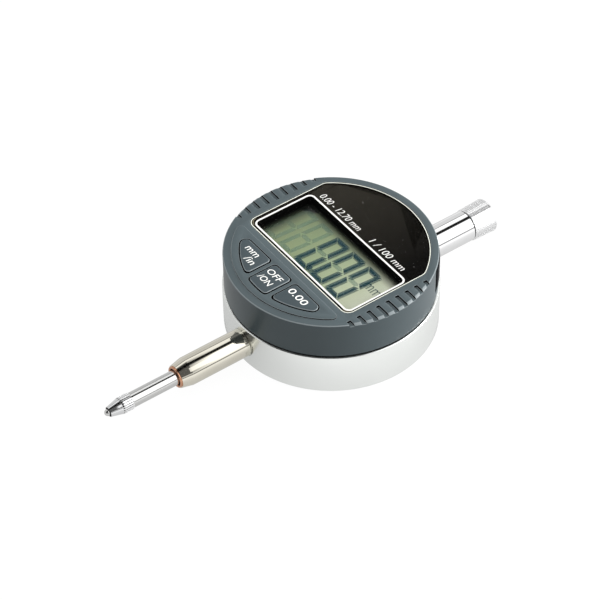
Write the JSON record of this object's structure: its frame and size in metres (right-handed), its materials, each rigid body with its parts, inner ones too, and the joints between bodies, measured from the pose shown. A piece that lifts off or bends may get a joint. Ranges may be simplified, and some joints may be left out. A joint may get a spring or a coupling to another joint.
{
  "type": "digital indicator",
  "caption": "Round digital plunger indicator with display, keypad, clamping stem, spring-loaded spindle, ball contact and lifting cap.",
  "frame": {"origin": "centre of the flat back, on the axis of the round dial", "axes": "+Z out of the dial, +Y along the spindle towards the lifting cap (12 o'clock), +X to the right of the display"},
  "size_m": [0.0586, 0.1265, 0.0247],
  "materials": {
    "case_metal": "satin",
    "cover_metal": "brushed",
    "steel_screw": "satin",
    "slate_plastic": "matte",
    "slate_key": "matte",
    "clear_lens": "gloss",
    "black_print": "gloss",
    "display_glass": "gloss",
    "display_back": "matte",
    "dark_rubber": "matte",
    "white_plastic": "matte",
    "board_green": "satin",
    "chip_black": "matte",
    "nickel_steel": "polished",
    "bronze": "machined",
    "chromed_steel": "polished",
    "ground_steel": "polished",
    "rider_aluminium": "machined",
    "spring_steel": "drawn",
    "drawer_plastic": "matte",
    "cell_steel": "satin",
    "contact_metal": "plated"
  },
  "bodies": {
    "housing": {"case": "case_metal", "back_cover": "cover_metal", "case_screws": "steel_screw", "bezel_housing": "slate_plastic", "display_lens": "clear_lens", "display_mask": "black_print", "display_glass": "display_glass", "display_reflector": "display_back", "connector_strip": "dark_rubber", "display_carrier": "white_plastic", "main_board": "board_green", "board_screws": "steel_screw", "board_chips": "chip_black", "stem": "nickel_steel", "stem_bush": "bronze", "inner_bush": "bronze", "upper_sleeve": "chromed_steel", "upper_bush": "bronze", "guide_rail": "ground_steel", "rail_screws": "steel_screw", "return_spring": "spring_steel", "unit_key_dome": "dark_rubber", "power_key_dome": "dark_rubber", "zero_key_dome": "dark_rubber", "negative_contact": "contact_metal", "positive_contact": "contact_metal"},
    "spindle_group": {"spindle": "ground_steel", "contact_point": "chromed_steel", "contact_ball": "ground_steel", "lifting_cap": "chromed_steel", "scale_rider": "rider_aluminium", "scale_strip": "board_green", "rider_screw": "steel_screw", "guide_pin": "ground_steel"},
    "unit_key_body": {"unit_key": "slate_key"},
    "power_key_body": {"power_key": "slate_key"},
    "zero_key_body": {"zero_key": "slate_key"},
    "drawer_group": {"battery_drawer": "drawer_plastic", "button_cell": "cell_steel"}
  },
  "joints": [
    {"name": "spindle_slide", "type": "slide", "parent": "housing", "child": "spindle_group", "axis": [0, 1, 0], "range_m": [0, 0.0127], "stiffness_N_per_m": 35, "springref_m": -0.02, "deforming": ["return_spring"]},
    {"name": "unit_key_press", "type": "slide", "parent": "housing", "child": "unit_key_body", "axis": [0, 0, -1], "range_m": [0, 0.0006], "stiffness_N_per_m": 800, "springref_m": -0.0003, "deforming": ["unit_key_dome"]},
    {"name": "power_key_press", "type": "slide", "parent": "housing", "child": "power_key_body", "axis": [0, 0, -1], "range_m": [0, 0.0006], "stiffness_N_per_m": 800, "springref_m": -0.0003, "deforming": ["power_key_dome"]},
    {"name": "zero_key_press", "type": "slide", "parent": "housing", "child": "zero_key_body", "axis": [0, 0, -1], "range_m": [0, 0.0006], "stiffness_N_per_m": 800, "springref_m": -0.0003, "deforming": ["zero_key_dome"]},
    {"name": "drawer_slide", "type": "slide", "parent": "housing", "child": "drawer_group", "axis": [0.5736, 0.8192, 0], "range_m": [0, 0.013]}
  ]
}
